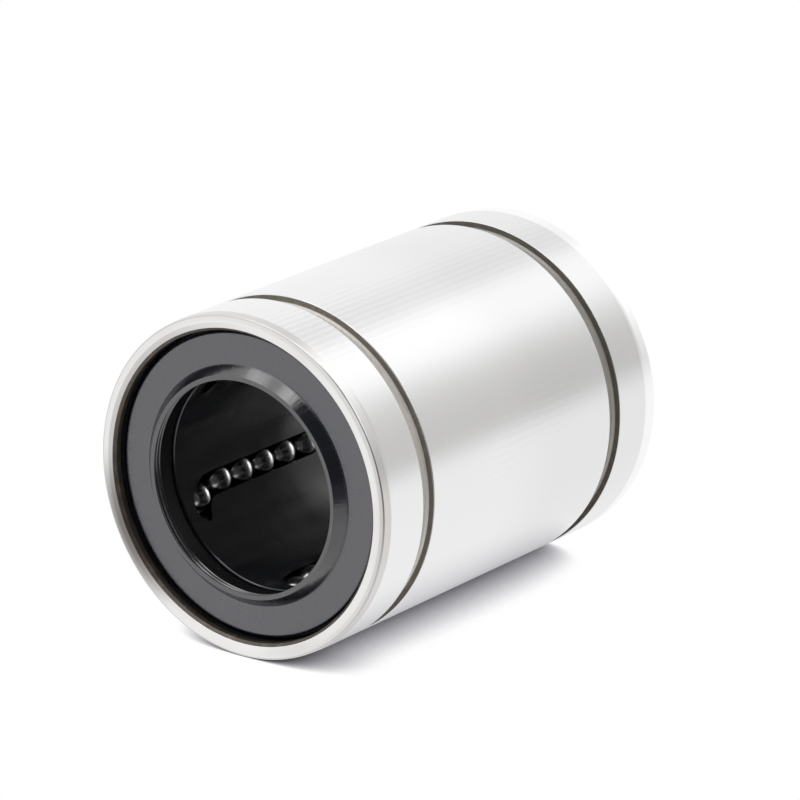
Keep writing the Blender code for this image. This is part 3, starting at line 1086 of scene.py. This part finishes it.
@dataclass(frozen=True)
class Balls:
    """The steel balls of a circuit."""

    per_row: int = 8
    radius: float = 1.5875 * MM
    gap: float = 0.025 * MM
    rings: int = 24
    spokes: int = 36

    def shape(self, centres: np.ndarray) -> tuple[np.ndarray, list]:
        """Spheres about each centre: rings of latitude about Y between two poles.

        A ring at polar angle p has radius R sin p and lies at -R cos p along the axis.

        Args:
            centres: One row for each ball.

        Returns:
            The vertices and faces of all the balls.
        """
        polar = np.linspace(0, math.pi, self.rings + 1)[1:-1, None]
        around = np.linspace(0, math.tau, self.spokes, endpoint=False)
        body = round_the_axis(self.radius * np.sin(polar), -self.radius * np.cos(polar), around)
        poles = np.array([[0, -self.radius, 0], [0, self.radius, 0]])
        one = np.concatenate([body, poles])
        first, last = len(body), len(body) + 1
        step = np.arange(self.spokes)
        following = (step + 1) % self.spokes
        tail = (self.rings - 2) * self.spokes
        caps = np.concatenate([np.stack([np.full_like(step, first), step, following], axis=1),
                               np.stack([tail + step, np.full_like(step, last), tail + following], axis=1)])
        quads = grid_faces(self.rings - 1, self.spokes, False)
        vertices = (centres[:, None] + one[None]).reshape(-1, 3)
        shifts = len(one) * np.arange(len(centres))[:, None, None]
        faces = [(kind[None] + shifts).reshape(-1, kind.shape[1]).tolist() for kind in (quads, caps)]
        return vertices, [*faces[0], *faces[1]]

    def group(self, name: str, centres: np.ndarray, body: str, node: str,
              wardrobe: Wardrobe) -> bpy.types.Object:
        """Make the balls of one body.

        Args:
            name: The piece's name.
            centres: One row for each ball.
            body: The body that they ride on.
            node: The solid that they replace.
            wardrobe: The materials.

        Returns:
            The balls.
        """
        made = add_mesh(name, *self.shape(centres))
        wardrobe.dress(made.data, np.full(len(made.data.polygons), int(Skin.BALL)))
        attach(made, body)
        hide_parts(node)
        return made

    def circuit(self, circuit: Circuit, wardrobe: Wardrobe) -> list[bpy.types.Object]:
        """Make one circuit: loaded balls one by one, the return row, and a pair in each turn.

        Args:
            circuit: The circuit.
            wardrobe: The materials.

        Returns:
            The pieces, in that order.
        """
        name = f"circuit_{circuit.number}"
        pitch = 2 * circuit.half_straight / self.per_row
        along = (np.arange(self.per_row) + 0.5) * pitch - circuit.half_straight
        loaded = circuit.point(np.zeros(self.per_row), along)
        made = [self.group(f"{name}_ball_{place}_polished", centre[None], f"{name}_loaded_row",
                           f"{name}_ball_{place}", wardrobe) for place, centre in enumerate(loaded, 1)]
        returning = circuit.point(np.full(self.per_row, 2 * circuit.turn_radius), along)
        made.append(self.group(f"{name}_return_row_balls", returning, f"{name}_return_row",
                               f"{name}_return_balls", wardrobe))
        half = math.asin((self.radius + self.gap / 2) / circuit.turn_radius)
        across = circuit.turn_radius * (1 + np.sin([-half, half]))
        depth = circuit.half_straight + circuit.turn_radius * np.cos([half, half])
        for end in End:
            turn = f"{name}_{end.word}_turn"
            centres = circuit.point(across, end.value * depth)
            made.append(self.group(f"{turn}_pair", centres, turn, f"{turn}_balls", wardrobe))
        return made


@dataclass(frozen=True)
class Patch:
    """A soft-edged patch of the floor, or of the directions all round, and its strength.

    Along an axis, (low, high) is a smooth step and (low, high, blur) is a band. With neither, the patch has
    no edge there.
    """

    strength: float
    x: tuple[float, ...] = ()
    y: tuple[float, ...] = ()
    z: tuple[float, ...] = ()

    def over(self, place: Sequence[Term]) -> Term | float:
        """Multiply the strength by the step or band along each axis.

        Args:
            place: X, Y and Z of a point or a direction.

        Returns:
            The patch's strength there.
        """
        level = self.strength
        for term, edges in zip(place, (self.x, self.y, self.z)):
            if edges:
                level = level * (term.between(*edges) if len(edges) == 3 else term.rise(*edges))
        return level


@dataclass(frozen=True)
class Studio:
    """The camera, the pale floor and the soft light."""

    front: float
    floor_level: float
    azimuth: float = math.radians(36.614)
    elevation: float = math.radians(18.169)
    lens: float = 259.6
    sensor: float = 36.0
    clip: tuple[float, float] = (0.01, 100.0)
    distance: float = 512.93 * MM
    aside: float = 14.17 * MM
    above: float = 7.862 * MM
    floor_size: float = 6.0
    floor_gain: float = 3.45
    contact_loss: float = 0.135
    mirrored_gain: float = 1.333
    mirrored_power: float = 0.44
    paper: Colour = (0.84, 0.84, 0.85)
    penumbra: Colour = (0.92, 0.915, 1.0)
    floor_shade: Colour = (0.06, 0.06, 0.075)
    beneath: Patch = Patch(0.28, x=(-0.014, 0.0), y=(-0.011, -0.020))
    floor_losses: tuple[Patch, ...] = (
        Patch(0.2, x=(0.05, 0.22), y=(0.05, 0.22)),
        Patch(0.36, x=(0.002, 0.014), y=(-0.022, -0.038)),
        Patch(0.58, x=(-0.005, 0.006), y=(-0.046, -0.062)),
        Patch(0.16, x=(0.0, 0.0015), y=(-0.029, -0.0225, 0.001)))
    wall: Patch = Patch(0.39, x=(0.38, 0.56), y=(-0.2, 0.3))
    wall_warmth: float = 2.5
    wall_light: Colour = (1.0, 0.99, 0.965)
    room_aside: Patch = Patch(0.95, x=(0.12, 0.24), y=(-0.15, -0.35))
    room_low: Patch = Patch(0.95, x=(-0.35, -0.2), y=(-0.15, -0.35), z=(0.55, 0.4))
    dim_left: Patch = Patch(0.11, x=(-0.35, -0.03, 0.12), y=(-0.2, 0.3), z=(0.3, 0.5))
    overhead: Patch = Patch(0.18, x=(-0.05, 0.40, 0.05), y=(-0.2, 0.3), z=(0.46, 0.56))
    key: Patch = Patch(1.0, x=(-0.58, 0.17, 0.05), y=(-0.60, -0.12, 0.06), z=(0.68, 0.76))
    key_banks: tuple[Patch, Patch] = (Patch(1.4, x=(-0.06, 0.17, 0.05)), Patch(1.1, x=(-0.52, -0.28, 0.06)))
    key_base: float = 0.3
    backdrop: Patch = Patch(1.1, y=(0.88, 0.96))
    lamp: Patch = Patch(3.0, x=(0.62, 0.84, 0.04), y=(0.0, 0.30, 0.06), z=(0.40, 0.75, 0.05))

    def camera(self) -> None:
        """Place the camera at the photograph's angle, from the centre of the front face."""
        back = Vector((math.sin(self.azimuth) * math.cos(self.elevation),
                       -math.cos(self.azimuth) * math.cos(self.elevation), math.sin(self.elevation)))
        right = Vector((math.cos(self.azimuth), math.sin(self.azimuth), 0))
        up = back.cross(right)
        data = bpy.data.cameras.new("camera")
        data.lens, data.sensor_width = self.lens, self.sensor
        data.clip_start, data.clip_end = self.clip
        made = bpy.data.objects.new("camera", data)
        turn = Matrix((right, up, back)).transposed().to_4x4()
        place = Vector((0, self.front, 0)) + back * self.distance + right * self.aside + up * self.above
        made.matrix_world = Matrix.Translation(place) @ turn
        bpy.context.scene.collection.objects.link(made)
        bpy.context.scene.camera = made

    def floor(self) -> None:
        """A pale floor. The camera and mirrors see it white in the open, and its own shade near the object.

        The open share of the sky over a point, times a gain and cut at 1, blends the shade into the white.
        The gain is less beneath the front end. Mirrors see a softer law, the share to a power, and less
        white far behind, ahead, further ahead and in a strip next to the front ring.
        """
        half = self.floor_size / 2
        corners = np.array([[-half, -half, 0], [half, -half, 0], [half, half, 0], [-half, half, 0]])
        plane = add_mesh("floor", corners + [0, 0, self.floor_level], [[0, 1, 2, 3]])
        made = bpy.data.materials.new("floor_paper")
        made.use_nodes = True
        recipe = Recipe(made.node_tree)
        paper = recipe.node("ShaderNodeBsdfDiffuse", inputs={"Color": (*self.paper, 1.0)})
        shade = recipe.node("ShaderNodeBsdfDiffuse", inputs={"Color": (*self.floor_shade, 1.0)})
        sky = recipe.node("ShaderNodeAmbientOcclusion", {"samples": 32}, {"Distance": 1.0}, output="AO")
        seen = recipe.node("ShaderNodeLightPath", output="Is Camera Ray")
        glossy = recipe.node("ShaderNodeLightPath", output="Is Glossy Ray")
        place = recipe.place()
        direct = sky * self.floor_gain * (1.0 - self.beneath.over(place)) - self.contact_loss
        mirrored = sky.power(self.mirrored_power) * self.mirrored_gain
        share = recipe.math("MINIMUM", direct + glossy * (mirrored - direct), 1.0)
        losses = sum(patch.over(place) for patch in self.floor_losses)
        open_share = share * (1.0 - glossy * losses)
        tone = recipe.blend(share, self.penumbra, WHITE)
        white = recipe.node("ShaderNodeEmission", inputs={"Color": tone, "Strength": 1.0})
        visible = recipe.node("ShaderNodeMixShader", inputs={0: open_share, 1: shade, 2: white})
        mixed = recipe.node("ShaderNodeMixShader",
                            inputs={0: recipe.math("MAXIMUM", seen, glossy), 1: paper, 2: visible})
        recipe.node("ShaderNodeOutputMaterial", inputs={"Surface": mixed})
        plane.data.materials.append(made)

    def world(self) -> None:
        """White all round for the camera. All other rays meet a white room with darker and brighter parts.

        The wall to the right is a warm grey, the left is slightly dim, and the room is dark ahead. Brighter
        are a light box overhead, a key light in two banks, a backdrop behind and a small lamp to the right.
        """
        made = bpy.data.worlds.new("studio")
        made.use_nodes = True
        recipe = Recipe(made.node_tree)
        place = recipe.place("Generated")
        wall = self.wall.over(place)
        room = recipe.math("MAXIMUM", self.room_aside.over(place), self.room_low.over(place))
        key = self.key.over(place) * (self.key_base + sum(bank.over(place) for bank in self.key_banks))
        dimmed = 1.0 - wall - room - self.dim_left.over(place)
        lights = sum(light.over(place) for light in (self.overhead, self.backdrop, self.lamp))
        seen = recipe.node("ShaderNodeLightPath", output="Is Camera Ray")
        level = seen + (1.0 - seen) * (dimmed + key + lights)
        tone = recipe.blend(wall * self.wall_warmth * (1.0 - seen), WHITE, self.wall_light)
        light = recipe.node("ShaderNodeBackground", inputs={"Color": tone, "Strength": level})
        recipe.node("ShaderNodeOutputWorld", inputs={"Surface": light})
        bpy.context.scene.world = made

    def build(self) -> None:
        """Set up the whole studio with the plain colour view."""
        self.camera()
        self.floor()
        self.world()
        bpy.context.scene.view_settings.view_transform = "Standard"


def main() -> None:
    """Load the frame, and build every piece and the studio."""
    logging.basicConfig(level=logging.INFO, format="%(name)s: %(message)s")
    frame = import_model()
    wardrobe = Wardrobe()
    circuits = tuple(Circuit.of_frame(frame, number) for number in range(1, CIRCUITS + 1))
    sleeve_low, sleeve_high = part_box("outer_sleeve")
    half_length = (sleeve_high.y - sleeve_low.y) / 2
    retainer_low, retainer_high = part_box("ball_retainer")
    sleeve = Sleeve(half_length, tuple(circuit.angle for circuit in circuits), circuits[0].half_straight)
    LOG.info("made %s", sleeve.build(wardrobe).name)
    retainer = Retainer((retainer_high.y - retainer_low.y) / 2, circuits)
    LOG.info("made %s", retainer.build(wardrobe).name)
    for end in End:
        LOG.info("made %s", Seal(half_length).build(wardrobe, end).name)
    balls = Balls()
    for circuit in circuits:
        for piece in balls.circuit(circuit, wardrobe):
            LOG.info("made %s", piece.name)
    Studio(-half_length, -sleeve.radius).build()


if __name__ == "__main__":
    main()
